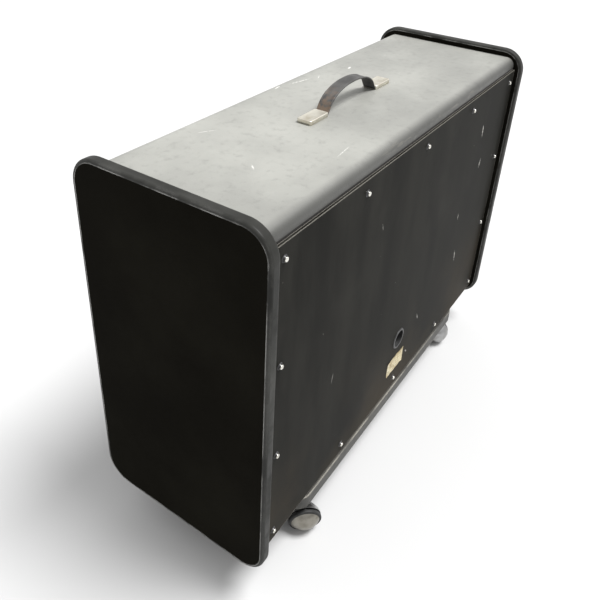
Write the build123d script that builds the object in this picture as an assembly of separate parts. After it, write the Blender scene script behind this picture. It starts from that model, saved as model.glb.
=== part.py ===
from build123d import *
import math

# Stage loudspeaker cabinet: a vinyl-covered box between two end cheeks that stand proud of it, on ball
# casters, with a strap handle on top, a screwed back panel and two 15-inch drivers behind a cloth grille.
# Millimetres. The origin is on the floor under the middle of the cabinet, +Z is up, the length runs
# along X, the back panel faces +Y and the grille faces -Y.

# Driving dimensions
CHEEK_HEIGHT = 610.0
CHEEK_DEPTH = 327.0
CHEEK_THICKNESS = 18.0
CHEEK_CORNER = 44.0
CABINET_LENGTH = 890.0
GROUND_CLEARANCE = 72.0
BOARD = 18.0

# Edge band round each cheek
BAND_THICKNESS = 6.0
BAND_ROUNDING = 4.5

# How far the box stays inside the cheeks
BODY_TOP_INSET = 15.0
BODY_FRONT_INSET = 24.0
BODY_REAR_INSET = 17.6
BODY_BOTTOM_INSET = 25.0
ROUNDOVER = 16.5
SMALL_ROUNDOVER = 4.0

# Levels and planes worked out from the driving dimensions
HALF_LENGTH = CABINET_LENGTH / 2
HALF_INSIDE = HALF_LENGTH - CHEEK_THICKNESS
CHEEK_BACK = CHEEK_DEPTH / 2
CHEEK_BOTTOM = GROUND_CLEARANCE
CHEEK_TOP = CHEEK_BOTTOM + CHEEK_HEIGHT
CHEEK_MIDDLE = (CHEEK_BOTTOM + CHEEK_TOP) / 2
BODY_TOP = CHEEK_TOP - BODY_TOP_INSET
BODY_BOTTOM = CHEEK_BOTTOM + BODY_BOTTOM_INSET
BODY_FRONT = -CHEEK_BACK + BODY_FRONT_INSET
BODY_REAR = CHEEK_BACK - BODY_REAR_INSET
INSIDE_TOP = BODY_TOP - BOARD
INSIDE_BOTTOM = BODY_BOTTOM + BOARD

# Back panel, its cleats and its screws
PANEL_THICKNESS = 4.6
PANEL_GAP = 3.0
PANEL_TOP = CHEEK_TOP - 37.0
PANEL_BOTTOM = CHEEK_BOTTOM + 32.0
CLEAT_DEPTH = 20.0
CLEAT_WIDTH = 40.0
SCREW_INSET = 22.0
SCREW_COLUMNS = 5
SCREW_ROWS = 4
SCREW_RADIUS = 2.0
SCREW_LENGTH = 20.0
SCREW_CLEARANCE = 0.2
WASHER_RADIUS = 5.6
WASHER_HEIGHT = 2.0
WASHER_RIM = 0.7
WASHER_EDGE = 0.8
WASHER_LIP = 0.6
SCREW_HEAD_RADIUS = 3.6
SCREW_HEAD_HEIGHT = 2.2
HEAD_ROUNDING = 0.6

# Recessed jack
DISH_HEIGHT = CHEEK_BOTTOM + 153.0
DISH_FLANGE_RADIUS = 21.0
DISH_FLANGE = 1.5
DISH_RADIUS = 17.0
DISH_WALL = 1.5
DISH_DEPTH = 24.0
JACK_DROP = 4.0
JACK_BORE_RADIUS = 3.2
JACK_BORE_DEPTH = 26.0
JACK_THREAD_RADIUS = 4.7
JACK_THREAD_LENGTH = 8.0
JACK_BODY_LENGTH = 24.0
JACK_BODY_WIDTH = 16.0
JACK_BODY_CORNER = 3.0
NUT_ACROSS = 12.7
NUT_HEIGHT = 3.0
FIT_GAP = 0.1

# Paper label under the jack
LABEL_WIDTH = 70.0
LABEL_HEIGHT = 38.0
LABEL_THICKNESS = 0.4
LABEL_DROP = 59.0

# Grille and baffle
GRILLE_RECESS = 6.0
CLOTH_THICKNESS = 0.8
GRILLE_FRAME_DEPTH = 12.0
GRILLE_BAR = 30.0
GRILLE_GAP = 2.0
BAFFLE_CLEAT = 18.0
STIFFENER_DEPTH = 40.0
CLOTH_FRONT = BODY_FRONT + GRILLE_RECESS
GRILLE_FRONT = CLOTH_FRONT + CLOTH_THICKNESS
BAFFLE_FRONT = GRILLE_FRONT + GRILLE_FRAME_DEPTH
BAFFLE_REAR = BAFFLE_FRONT + BOARD

# Drivers
DRIVER_SPACING = 412.0
DRIVER_RADIUS = 194.0
DRIVER_CUTOUT = 178.0
FLANGE = 3.0
BASKET_WALL = 2.0
BASKET_MOUTH = 168.0
BASKET_BACK = 75.0
BASKET_DEPTH = 87.0
BASKET_WINDOWS = 6
LEDGE_RADIUS = 72.0
MAGNET_RADIUS = 75.0
MAGNET_DEPTH = 36.0
POLE_RADIUS = 31.0
GAP_RADIUS = 34.5
COIL_INSIDE = 32.0
COIL_WALL = 1.2
CONE_RADIUS = 158.0
CONE_NECK_DEPTH = 62.0
CONE_MOUTH_DEPTH = 7.0
CONE_THICKNESS = 1.6
DUST_CAP_RADIUS = 52.0
SURROUND_WALL = 0.8
SOFT_GAP = 0.3
DRIVER_BOLTS = 8
DRIVER_BOLT_CIRCLE = 186.0
DRIVER_BOLT_RADIUS = 2.2
DRIVER_BOLT_LENGTH = 14.0
DRIVER_BOLT_HEAD = 4.5
DRIVER_BOLT_HEAD_HEIGHT = 2.5
LIP_WIDTH = 2.0
LEDGE_WIDTH = 6.0
WINDOW_ANGLE = 52.0
WINDOW_OUT = 118.0
WINDOW_SIZE = (46.0, 62.0, 60.0)
BACK_PLATE = 8.0
BACK_PLATE_INSET = 5.0
COIL_ABOVE_PLATE = 6.0
COIL_PAST_NECK = 4.0
SPIDER_LEVEL = -78.0
SPIDER_WAVES = 10
SPIDER_HIGH = 1.2
SPIDER_LOW = 0.4
SPIDER_WALL = 0.4
DUST_CAP_RISE = 14.0
DUST_CAP_SEAT = 0.4

# Strap handle
HANDLE_LENGTH = 261.0
HANDLE_X = 12.0
HANDLE_Y = (BODY_FRONT + BODY_REAR) / 2
CAP_LENGTH = 51.0
CAP_WIDTH = 26.0
CAP_HEIGHT = 7.4
CAP_WALL = 0.9
CAP_CORNER = 3.0
CAP_ROUNDING = 0.7
STRAP_WIDTH = 23.0
STRAP_THICKNESS = 3.0
STRAP_RISE = 39.0
BRACKET_THICKNESS = 1.2
BRACKET_INSET = 4.0
BRACKET_WIDTH = 22.0
HANDLE_SCREW_SPACING = 20.0
HANDLE_SCREW_RADIUS = 2.0
HANDLE_SCREW_LENGTH = 20.0
HANDLE_SCREW_HEAD = 4.0
HANDLE_SCREW_HEAD_HEIGHT = 1.5
STRAP_SLOT = 14.0
STRAP_SLOT_WIDTH = 6.4

# Caster rails
RAIL_DROP = 3.0
RAIL_WIDTH = 56.0
RAIL_OUT = 11.5
RAIL_HALF_LENGTH = 322.0
RAIL_EDGE = 3.5
RAIL_TOP_EDGE = 1.5
RAIL_END_RADIUS = 26.0
RAIL_BOTTOM = CHEEK_BOTTOM - RAIL_DROP
RAIL_MIDDLE = CHEEK_BACK - RAIL_OUT - RAIL_WIDTH / 2
RAIL_SCREW_LENGTH = 38.0
RAIL_SCREW_SPACING = 165.0
RAIL_SCREW_RADIUS = 2.5
RAIL_SCREW_HEAD = 5.0
RAIL_SCREW_HEAD_HEIGHT = 2.5
RAIL_SCREW_SINK = 4.0

# Ball casters: a tilted dome wheel that runs under a half-ball hood
STEM_X = 291.0
STEM_Y = CHEEK_BACK - 29.0
FLANGE_RADIUS = 11.0
FLANGE_THICKNESS = 2.0
SOCKET_RADIUS = 7.0
SOCKET_HEIGHT = 24.0
NECK_RADIUS = 9.0
KINGPIN_RADIUS = 4.0
RUNNING_GAP = 0.05
AXLE_TILT = 8.0
AXLE_RADIUS = 3.0
BALL_SIDE = 14.0
BALL_TRAIL = 4.0
HOOD_RADIUS = 29.0
HOOD_WALL = 2.0
HOOD_EDGE = 5.0
TYRE_RADIUS = 28.5
TYRE_WIDTH = 7.0
TYRE_ROUNDING = 2.5
RIM_RADIUS = 23.0
DOME_RADIUS = 24.5
DOME_HEIGHT = 11.5
DOME_WALL = 2.5
HUB_RADIUS = 7.0
AXLE_PAST_TYRE = 8.0
AXLE_END_GAP = 0.5
RIM_STEP = 0.5
SOCKET_END = 2.0
KINGPIN_END_GAP = 1.0
FLANGE_BOTTOM = RAIL_BOTTOM - FLANGE_THICKNESS
SOCKET_TOP = RAIL_BOTTOM + SOCKET_HEIGHT
TILT = math.radians(AXLE_TILT)
TYRE_EDGE_RADIUS = TYRE_RADIUS - TYRE_ROUNDING
TYRE_EDGE_OUT = TYRE_WIDTH / 2 - TYRE_ROUNDING
BALL_HEIGHT = TYRE_EDGE_RADIUS * math.cos(TILT) + TYRE_EDGE_OUT * math.sin(TILT) + TYRE_ROUNDING

# Each caster: name, side along X, side along Y, and where the wheel's dome faces
CASTERS = [
    ("rear_right", 1, 1, 44.0),
    ("rear_left", -1, 1, 199.0),
    ("front_left", -1, -1, 224.0),
    ("front_right", 1, -1, 19.0),
]


def save(name, shape):
    """Write one node as a STEP file."""
    export_step(shape, f"parts/{name}.step")


def block(x, y, z):
    """A box from its lowest and highest X, Y and Z."""
    size = (x[1] - x[0], y[1] - y[0], z[1] - z[0])
    middle = (sum(x) / 2, sum(y) / 2, sum(z) / 2)
    return Pos(*middle) * Box(*size)


def turned(profile):
    """Turn a profile, drawn as radius and height, about the Z axis."""
    return revolve(Plane.XZ * profile, Axis.Z)


def outline(*points):
    """A flat face from its corners."""
    return make_face(Polyline(*points, close=True))


def tube(outside, inside, bottom, top):
    """A round tube on the Z axis."""
    return turned(outline((inside, bottom), (outside, bottom), (outside, top), (inside, top)))


def rod(radius, bottom, top):
    """A round bar on the Z axis."""
    return Pos(0, 0, (bottom + top) / 2) * Cylinder(radius, top - bottom)


def pan_screw(head_radius, head_height, radius, length):
    """A round-headed screw that points down the -Z axis, its head's underside at the origin."""
    head = rod(head_radius, 0, head_height)
    head = fillet(head.edges().group_by(Axis.Z)[-1], head_height * HEAD_ROUNDING)
    return head + rod(radius, -length, 0)


# Cheeks and their edge bands

def cheek_outline(inset):
    """The cheek's rounded rectangle, drawn in from its edge."""
    width = CHEEK_DEPTH - 2 * inset
    height = CHEEK_HEIGHT - 2 * inset
    return Plane.YZ * Pos(0, CHEEK_MIDDLE) * RectangleRounded(width, height, CHEEK_CORNER - inset)


def cheek(side):
    board = extrude(cheek_outline(BAND_THICKNESS), CHEEK_THICKNESS / 2, both=True)
    return Pos(side * (HALF_LENGTH - CHEEK_THICKNESS / 2), 0, 0) * board


def edge_band(side):
    band = extrude(cheek_outline(0), CHEEK_THICKNESS / 2, both=True)
    ends = band.faces().sort_by(Axis.X)
    band = fillet(ends[0].edges() + ends[-1].edges(), BAND_ROUNDING)
    band -= extrude(cheek_outline(BAND_THICKNESS), CHEEK_THICKNESS, both=True)
    return Pos(side * (HALF_LENGTH - CHEEK_THICKNESS / 2), 0, 0) * band


for side, name in ((1, "right"), (-1, "left")):
    save(f"{name}_cheek", cheek(side))
    save(f"{name}_edge_band", edge_band(side))


# Top and bottom boards

WALL_X = (-HALF_INSIDE, HALF_INSIDE)
WALL_Y = (BODY_FRONT, BODY_REAR)


def top_board():
    board = block(WALL_X, WALL_Y, (INSIDE_TOP, BODY_TOP))
    return fillet(board.edges().filter_by(Axis.X).group_by(Axis.Z)[-1], ROUNDOVER)


def bottom_board():
    board = block(WALL_X, WALL_Y, (BODY_BOTTOM, INSIDE_BOTTOM))
    front_edge = board.edges().filter_by(Axis.X).group_by(Axis.Z)[0].sort_by(Axis.Y)[0]
    board = fillet(front_edge, ROUNDOVER)
    rear_edge = board.edges().filter_by(Axis.X).group_by(Axis.Z)[0].sort_by(Axis.Y)[-1]
    return fillet(rear_edge, SMALL_ROUNDOVER)


save("top_board", top_board())
save("bottom_board", bottom_board())


# Cleats that the back panel screws to

CLEAT_Y = (BODY_REAR - CLEAT_DEPTH, BODY_REAR)
TOP_CLEAT_BOTTOM = INSIDE_TOP - CLEAT_WIDTH
BOTTOM_CLEAT_TOP = INSIDE_BOTTOM + CLEAT_WIDTH


def side_cleats():
    bars = []
    for side in (1, -1):
        ends = sorted((side * HALF_INSIDE, side * (HALF_INSIDE - CLEAT_WIDTH)))
        bars.append(block(ends, CLEAT_Y, (BOTTOM_CLEAT_TOP, TOP_CLEAT_BOTTOM)))
    return Compound(children=bars)


save("rear_cleat_top", block(WALL_X, CLEAT_Y, (TOP_CLEAT_BOTTOM, INSIDE_TOP)))
save("rear_cleat_bottom", block(WALL_X, CLEAT_Y, (INSIDE_BOTTOM, BOTTOM_CLEAT_TOP)))
save("rear_cleat_sides", side_cleats())


# Back panel with its screws and cup washers

PANEL_HALF = HALF_INSIDE - PANEL_GAP
PANEL_FACE = BODY_REAR + PANEL_THICKNESS
FACING_BACK = Rot(-90, 0, 0)


def panel_screw_places():
    """Screw places round the edge of the panel: the border of a grid."""
    places = []
    width = 2 * (PANEL_HALF - SCREW_INSET)
    height = PANEL_TOP - PANEL_BOTTOM - 2 * SCREW_INSET
    for column in range(SCREW_COLUMNS):
        for row in range(SCREW_ROWS):
            if column in (0, SCREW_COLUMNS - 1) or row in (0, SCREW_ROWS - 1):
                x = width * (column / (SCREW_COLUMNS - 1) - 0.5)
                z = PANEL_BOTTOM + SCREW_INSET + height * row / (SCREW_ROWS - 1)
                places.append(Pos(x, PANEL_FACE, z))
    return places


def back_panel():
    panel = block((-PANEL_HALF, PANEL_HALF), (BODY_REAR, PANEL_FACE), (PANEL_BOTTOM, PANEL_TOP))
    hole = rod(DISH_RADIUS + DISH_WALL + FIT_GAP, -PANEL_THICKNESS * 2, PANEL_THICKNESS)
    panel -= Pos(0, PANEL_FACE, DISH_HEIGHT) * FACING_BACK * hole
    screw_hole = rod(SCREW_RADIUS + SCREW_CLEARANCE, -PANEL_THICKNESS * 2, PANEL_THICKNESS)
    for place in panel_screw_places():
        panel -= place * FACING_BACK * screw_hole
    return panel


def cup_washer():
    """A pressed cup washer: a low ring that slopes down to its rim."""
    inside = SCREW_RADIUS + SCREW_CLEARANCE
    top = SCREW_HEAD_RADIUS + WASHER_LIP
    return turned(outline((inside, 0), (WASHER_RADIUS, 0), (WASHER_RADIUS - WASHER_EDGE, WASHER_RIM),
                          (top, WASHER_HEIGHT), (inside, WASHER_HEIGHT)))


def panel_screw():
    screw = pan_screw(SCREW_HEAD_RADIUS, SCREW_HEAD_HEIGHT, SCREW_RADIUS, SCREW_LENGTH)
    return Pos(0, 0, WASHER_HEIGHT) * screw


save("back_panel", back_panel())
PANEL_SCREW_PLACES = [place * FACING_BACK for place in panel_screw_places()]
save("panel_washers", Compound(children=[place * cup_washer() for place in PANEL_SCREW_PLACES]))
save("panel_screws", Compound(children=[place * panel_screw() for place in PANEL_SCREW_PLACES]))


# Recessed jack dish, jack socket and nut. Each is drawn with +Z out of the cabinet.

DISH_PLACE = Pos(0, PANEL_FACE, DISH_HEIGHT) * FACING_BACK
JACK_PLACE = DISH_PLACE * Pos(0, JACK_DROP, 0)


def jack_dish():
    outside = DISH_RADIUS + DISH_WALL
    profile = outline((0, -DISH_DEPTH - DISH_WALL), (outside, -DISH_DEPTH - DISH_WALL), (outside, 0),
                      (DISH_FLANGE_RADIUS, 0), (DISH_FLANGE_RADIUS - 1, DISH_FLANGE),
                      (DISH_RADIUS, DISH_FLANGE), (DISH_RADIUS, -DISH_DEPTH), (0, -DISH_DEPTH))
    hole = rod(JACK_THREAD_RADIUS + FIT_GAP, -DISH_DEPTH - 2 * DISH_WALL, -DISH_DEPTH + DISH_WALL)
    return DISH_PLACE * (turned(profile) - Pos(0, JACK_DROP, 0) * hole)


def jack_socket():
    shoulder = -DISH_DEPTH - DISH_WALL
    mouth = shoulder + JACK_THREAD_LENGTH
    body = Box(JACK_BODY_WIDTH, JACK_BODY_WIDTH, JACK_BODY_LENGTH)
    body = fillet(body.edges().filter_by(Axis.Z), JACK_BODY_CORNER)
    socket = Pos(0, 0, shoulder - JACK_BODY_LENGTH / 2) * body + rod(JACK_THREAD_RADIUS, shoulder, mouth)
    return JACK_PLACE * (socket - rod(JACK_BORE_RADIUS, mouth - JACK_BORE_DEPTH, mouth))


def jack_nut():
    nut = extrude(RegularPolygon(NUT_ACROSS / 2, 6, major_radius=False), NUT_HEIGHT)
    nut = Pos(0, 0, -DISH_DEPTH) * nut
    return JACK_PLACE * (nut - rod(JACK_THREAD_RADIUS + FIT_GAP, -DISH_DEPTH, -DISH_DEPTH + NUT_HEIGHT))


def input_label():
    middle = DISH_HEIGHT - LABEL_DROP
    return block((-LABEL_WIDTH / 2, LABEL_WIDTH / 2), (PANEL_FACE, PANEL_FACE + LABEL_THICKNESS),
                 (middle - LABEL_HEIGHT / 2, middle + LABEL_HEIGHT / 2))


save("jack_dish", jack_dish())
save("jack_socket", jack_socket())
save("jack_nut", jack_nut())
save("input_label", input_label())


# Baffle, its cleats and its stiffener

INSIDE_Z = (INSIDE_BOTTOM, INSIDE_TOP)
DRIVER_CENTRES = [(1, "right"), (-1, "left")]


def baffle_board():
    board = block(WALL_X, (BAFFLE_FRONT, BAFFLE_REAR), INSIDE_Z)
    hole = Rot(90, 0, 0) * Cylinder(DRIVER_CUTOUT, 4 * BOARD)
    for side, name in DRIVER_CENTRES:
        board -= Pos(side * DRIVER_SPACING / 2, BAFFLE_FRONT, CHEEK_MIDDLE) * hole
    return board


def baffle_cleats():
    y = (BAFFLE_REAR, BAFFLE_REAR + BAFFLE_CLEAT)
    top = block(WALL_X, y, (INSIDE_TOP - BAFFLE_CLEAT, INSIDE_TOP))
    bottom = block(WALL_X, y, (INSIDE_BOTTOM, INSIDE_BOTTOM + BAFFLE_CLEAT))
    return Compound(children=[top, bottom])


def baffle_stiffener():
    z = (INSIDE_BOTTOM + BAFFLE_CLEAT, INSIDE_TOP - BAFFLE_CLEAT)
    return block((-BOARD / 2, BOARD / 2), (BAFFLE_REAR, BAFFLE_REAR + STIFFENER_DEPTH), z)


save("baffle_board", baffle_board())
save("baffle_cleats", baffle_cleats())
save("baffle_stiffener", baffle_stiffener())


# Grille frame of five bars, and the cloth stretched over its front

GRILLE_HALF = HALF_INSIDE - GRILLE_GAP
GRILLE_BOTTOM = INSIDE_BOTTOM + GRILLE_GAP
GRILLE_TOP = INSIDE_TOP - GRILLE_GAP


def grille_frame():
    y = (GRILLE_FRONT, BAFFLE_FRONT)
    x = (-GRILLE_HALF, GRILLE_HALF)
    bars = [
        block(x, y, (GRILLE_TOP - GRILLE_BAR, GRILLE_TOP)),
        block(x, y, (GRILLE_BOTTOM, GRILLE_BOTTOM + GRILLE_BAR)),
    ]
    for middle in (-GRILLE_HALF + GRILLE_BAR / 2, 0, GRILLE_HALF - GRILLE_BAR / 2):
        upright = (middle - GRILLE_BAR / 2, middle + GRILLE_BAR / 2)
        bars.append(block(upright, y, (GRILLE_BOTTOM + GRILLE_BAR, GRILLE_TOP - GRILLE_BAR)))
    return Compound(children=bars)


save("grille_frame", grille_frame())
CLOTH_Y = (CLOTH_FRONT, GRILLE_FRONT)
save("grille_cloth", block((-GRILLE_HALF, GRILLE_HALF), CLOTH_Y, (GRILLE_BOTTOM, GRILLE_TOP)))


# Drivers. Each is drawn about the Z axis, with +Z out of the front and the flange's front face at zero.

SEAT = -FLANGE - BASKET_WALL
MAGNET_BACK = -BASKET_DEPTH - MAGNET_DEPTH
BACK_PLATE_FRONT = MAGNET_BACK + BACK_PLATE
BASKET_FLOOR = BASKET_WALL - BASKET_DEPTH
COIL_OUTSIDE = COIL_INSIDE + COIL_WALL
CONE_SLOPE = (CONE_NECK_DEPTH - CONE_MOUTH_DEPTH) / (CONE_RADIUS - COIL_OUTSIDE)


def basket():
    """Pressed frame: a flange, a seat for the surround, a windowed bowl and a ledge for the spider."""
    hole = GAP_RADIUS + LIP_WIDTH
    inside_flange = DRIVER_CUTOUT - LIP_WIDTH / 2
    wall = turned(outline(
        (hole, -BASKET_DEPTH), (BASKET_BACK, -BASKET_DEPTH), (BASKET_MOUTH, SEAT),
        (DRIVER_CUTOUT, SEAT), (DRIVER_CUTOUT, -FLANGE), (DRIVER_RADIUS, -FLANGE), (DRIVER_RADIUS, 0),
        (inside_flange, 0), (inside_flange, -FLANGE), (BASKET_MOUTH - LIP_WIDTH, -FLANGE),
        (BASKET_BACK - LIP_WIDTH / 2, BASKET_FLOOR), (hole, BASKET_FLOOR)))
    ledge = tube(LEDGE_RADIUS, LEDGE_RADIUS - LEDGE_WIDTH, BASKET_FLOOR, SPIDER_LEVEL)
    window = Rot(0, WINDOW_ANGLE, 0) * Pos(0, 0, WINDOW_OUT) * Box(*WINDOW_SIZE)
    for index in range(BASKET_WINDOWS):
        turn = Rot(0, 0, (index + 0.5) * 360 / BASKET_WINDOWS)
        wall -= turn * Pos(0, 0, -WINDOW_OUT) * window
    return wall + ledge


def magnet():
    """Plates, ring magnet and pole piece, bonded into one motor with a round gap for the coil."""
    ring = tube(MAGNET_RADIUS, GAP_RADIUS, BACK_PLATE_FRONT, -BASKET_DEPTH)
    back = rod(MAGNET_RADIUS - BACK_PLATE_INSET, MAGNET_BACK, BACK_PLATE_FRONT)
    return ring + back + rod(POLE_RADIUS, BACK_PLATE_FRONT, -BASKET_DEPTH)


def voice_coil():
    return tube(COIL_OUTSIDE, COIL_INSIDE, BACK_PLATE_FRONT + COIL_ABOVE_PLATE,
                -CONE_NECK_DEPTH + COIL_PAST_NECK)


def spider():
    """Corrugated suspension ring between the coil and the basket's ledge."""
    inner = COIL_OUTSIDE + SOFT_GAP
    upper = []
    for index in range(SPIDER_WAVES + 1):
        radius = inner + (LEDGE_RADIUS - inner) * index / SPIDER_WAVES
        wave = SPIDER_HIGH if index % 2 else SPIDER_LOW
        upper.append((radius, SPIDER_LEVEL + wave))
    lower = [(radius, level - SPIDER_WALL) for radius, level in reversed(upper)]
    return turned(outline(*upper, *lower))


def cone():
    """Paper cone with its dust cap glued in."""
    wall = turned(outline((COIL_OUTSIDE, -CONE_NECK_DEPTH), (CONE_RADIUS, -CONE_MOUTH_DEPTH),
                          (CONE_RADIUS, -CONE_MOUTH_DEPTH + CONE_THICKNESS),
                          (COIL_OUTSIDE, -CONE_NECK_DEPTH + CONE_THICKNESS)))
    cap_level = -CONE_NECK_DEPTH + (DUST_CAP_RADIUS - COIL_OUTSIDE) * CONE_SLOPE
    cap_top = cap_level + DUST_CAP_RISE + 2 * DUST_CAP_SEAT
    cap_radius = (DUST_CAP_RADIUS ** 2 + DUST_CAP_RISE ** 2) / (2 * DUST_CAP_RISE)
    shell = Sphere(cap_radius) - Sphere(cap_radius - CONE_THICKNESS)
    shell = Pos(0, 0, cap_top - cap_radius) * shell
    shell &= rod(DUST_CAP_RADIUS, cap_level + DUST_CAP_SEAT, cap_top + CONE_THICKNESS)
    return wall + shell


def surround():
    """Half-roll between the cone's edge and the basket's seat."""
    inner = CONE_RADIUS + SOFT_GAP
    outer = BASKET_MOUTH + LIP_WIDTH
    roll = (outer - inner) / 2
    ring = Circle(roll) - Circle(roll - SURROUND_WALL)
    ring &= Pos(0, roll / 2) * Rectangle(2 * roll, roll)
    lip_inner = outer - SURROUND_WALL
    lip_outer = DRIVER_CUTOUT - LIP_WIDTH
    lip = Rectangle(lip_outer - lip_inner, SURROUND_WALL)
    lip = Pos((lip_inner + lip_outer) / 2, SURROUND_WALL / 2) * lip
    return turned(Pos(inner + roll, -FLANGE) * ring + Pos(0, -FLANGE) * lip)


def driver_bolt_places():
    turns = [Rot(0, 0, (index + 0.5) * 360 / DRIVER_BOLTS) for index in range(DRIVER_BOLTS)]
    return [turn * Pos(DRIVER_BOLT_CIRCLE, 0, -FLANGE) for turn in turns]


def driver_screws():
    """Screws through the flange from behind, into the baffle."""
    screw = pan_screw(DRIVER_BOLT_HEAD, DRIVER_BOLT_HEAD_HEIGHT, DRIVER_BOLT_RADIUS, DRIVER_BOLT_LENGTH)
    return [place * Rot(180, 0, 0) * screw for place in driver_bolt_places()]


def drilled_basket():
    """The basket with a clearance hole under each driver screw."""
    frame = basket()
    for place in driver_bolt_places():
        frame -= place * rod(DRIVER_BOLT_RADIUS + SCREW_CLEARANCE, -FLANGE, 2 * FLANGE)
    return frame


def driver_place(side):
    return Pos(side * DRIVER_SPACING / 2, BAFFLE_REAR, CHEEK_MIDDLE) * Rot(90, 0, 0)


all_driver_screws = []
for side, name in DRIVER_CENTRES:
    place = driver_place(side)
    save(f"{name}_basket", place * drilled_basket())
    save(f"{name}_magnet", place * magnet())
    save(f"{name}_voice_coil", place * voice_coil())
    save(f"{name}_spider", place * spider())
    save(f"{name}_cone", place * cone())
    save(f"{name}_surround", place * surround())
    all_driver_screws += [place * screw for screw in driver_screws()]
save("driver_screws", Compound(children=all_driver_screws))


# Wires from the jack to both drivers

# Each wire's bends: how far out from the middle, how far forward of the jack, how far above it and the
# radius of the bend. The last place is on the basket's side.
WIRE_RADIUS = 2.5
WIRE_START = (4.0, 0.2, 0.0)
WIRE_BENDS = [
    (5.0, 30.0, 2.0, 30.0),
    (18.0, 60.0, 32.0, 40.0),
    (42.0, 105.7, 75.0, 60.0),
    (66.0, 135.7, 120.0, 60.0),
]
WIRE_END = (84.0, 151.7, 156.0)
JACK_TAIL = PANEL_FACE - DISH_DEPTH - DISH_WALL - JACK_BODY_LENGTH


def wire(side):
    places = [WIRE_START, *[bend[:3] for bend in WIRE_BENDS], WIRE_END]
    points = [(side * out, JACK_TAIL - forward, DISH_HEIGHT - JACK_DROP + up) for out, forward, up in places]
    path = FilletPolyline(*points, radius=[bend[3] for bend in WIRE_BENDS])
    return sweep(Plane(origin=path @ 0, z_dir=path % 0) * Circle(WIRE_RADIUS), path=path)


save("speaker_wires", Compound(children=[wire(1), wire(-1)]))


# Strap handle: the strap's flat ends lie under two caps, on brackets screwed to the top board

CAP_MIDDLE = (HANDLE_LENGTH - CAP_LENGTH) / 2
CAP_INNER = HANDLE_LENGTH / 2 - CAP_LENGTH
STRAP_END = HANDLE_LENGTH / 2 - 2 * CAP_WALL
STRAP_LEVEL = BRACKET_THICKNESS + FIT_GAP + STRAP_THICKNESS / 2
HANDLE_PLACE = Pos(HANDLE_X, HANDLE_Y, BODY_TOP)

# The arch from the middle outwards: shares of the half span, and of the rise
ARCH = [(0.0, 1.0), (0.32, 0.95), (0.62, 0.77), (0.84, 0.47), (0.95, 0.12)]


def arch_points():
    """The strap's centreline between the caps, from +X to -X."""
    rise = STRAP_RISE - STRAP_THICKNESS / 2 - STRAP_LEVEL
    half = [(out * CAP_INNER, STRAP_LEVEL + up * rise) for out, up in ARCH]
    ends = [(CAP_INNER, STRAP_LEVEL), (-CAP_INNER, STRAP_LEVEL)]
    mirrored = [(-x, z) for x, z in half[1:]]
    return [ends[0], *reversed(half), *mirrored, ends[1]]


def handle_strap():
    near = Line((STRAP_END, STRAP_LEVEL), (CAP_INNER, STRAP_LEVEL))
    arch = Spline(*arch_points(), tangents=[(-1, 0), (-1, 0)])
    far = Line((-CAP_INNER, STRAP_LEVEL), (-STRAP_END, STRAP_LEVEL))
    strip = trace(near + arch + far, line_width=STRAP_THICKNESS)
    strap = extrude(Plane.XZ * strip, STRAP_WIDTH / 2, both=True)
    slot = SlotOverall(HANDLE_SCREW_SPACING + STRAP_SLOT, STRAP_SLOT_WIDTH)
    for side in (1, -1):
        strap -= Pos(side * CAP_MIDDLE, 0, 0) * extrude(slot, 3 * STRAP_THICKNESS)
    return HANDLE_PLACE * strap


def handle_caps():
    caps = []
    for side in (1, -1):
        shell = extrude(RectangleRounded(CAP_LENGTH, CAP_WIDTH, CAP_CORNER), CAP_HEIGHT)
        shell = fillet(shell.faces().sort_by(Axis.Z)[-1].edges(), CAP_ROUNDING)
        hollow = Box(CAP_LENGTH, CAP_WIDTH - 2 * CAP_WALL, 2 * (CAP_HEIGHT - CAP_WALL))
        shell -= Pos(-side * CAP_WALL, 0, 0) * hollow
        caps.append(HANDLE_PLACE * Pos(side * CAP_MIDDLE, 0, 0) * shell)
    return Compound(children=caps)


def handle_screw_places():
    places = []
    for side in (1, -1):
        for offset in (-HANDLE_SCREW_SPACING / 2, HANDLE_SCREW_SPACING / 2):
            places.append(HANDLE_PLACE * Pos(side * CAP_MIDDLE + offset, 0, 0))
    return places


def handle_brackets():
    hole = rod(HANDLE_SCREW_RADIUS + SCREW_CLEARANCE, -BRACKET_THICKNESS, 2 * BRACKET_THICKNESS)
    plate = extrude(Rectangle(CAP_LENGTH - 2 * BRACKET_INSET, BRACKET_WIDTH), BRACKET_THICKNESS)
    for offset in (-HANDLE_SCREW_SPACING / 2, HANDLE_SCREW_SPACING / 2):
        plate -= Pos(offset, 0, 0) * hole
    return Compound(children=[HANDLE_PLACE * Pos(side * CAP_MIDDLE, 0, 0) * plate for side in (1, -1)])


def handle_screws():
    head_level = STRAP_LEVEL + STRAP_THICKNESS / 2 + FIT_GAP
    screw = pan_screw(HANDLE_SCREW_HEAD, HANDLE_SCREW_HEAD_HEIGHT, HANDLE_SCREW_RADIUS, HANDLE_SCREW_LENGTH)
    return Compound(children=[place * Pos(0, 0, head_level) * screw for place in handle_screw_places()])


save("handle_strap", handle_strap())
save("handle_caps", handle_caps())
save("handle_brackets", handle_brackets())
save("handle_screws", handle_screws())


# Caster rails under the box, with the screws that hold them to the bottom board

def stem_places():
    return [(x_side * STEM_X, y_side * STEM_Y) for name, x_side, y_side, facing in CASTERS]


def rail_screw_places(side):
    return [Pos(x, side * RAIL_MIDDLE, RAIL_BOTTOM) for x in (-RAIL_SCREW_SPACING, 0, RAIL_SCREW_SPACING)]


def rail_screw():
    """Points up, its head sunk in the rail's underside."""
    screw = pan_screw(RAIL_SCREW_HEAD, RAIL_SCREW_HEAD_HEIGHT, RAIL_SCREW_RADIUS, RAIL_SCREW_LENGTH)
    return Rot(180, 0, 0) * Pos(0, 0, -RAIL_SCREW_SINK) * screw


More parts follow.
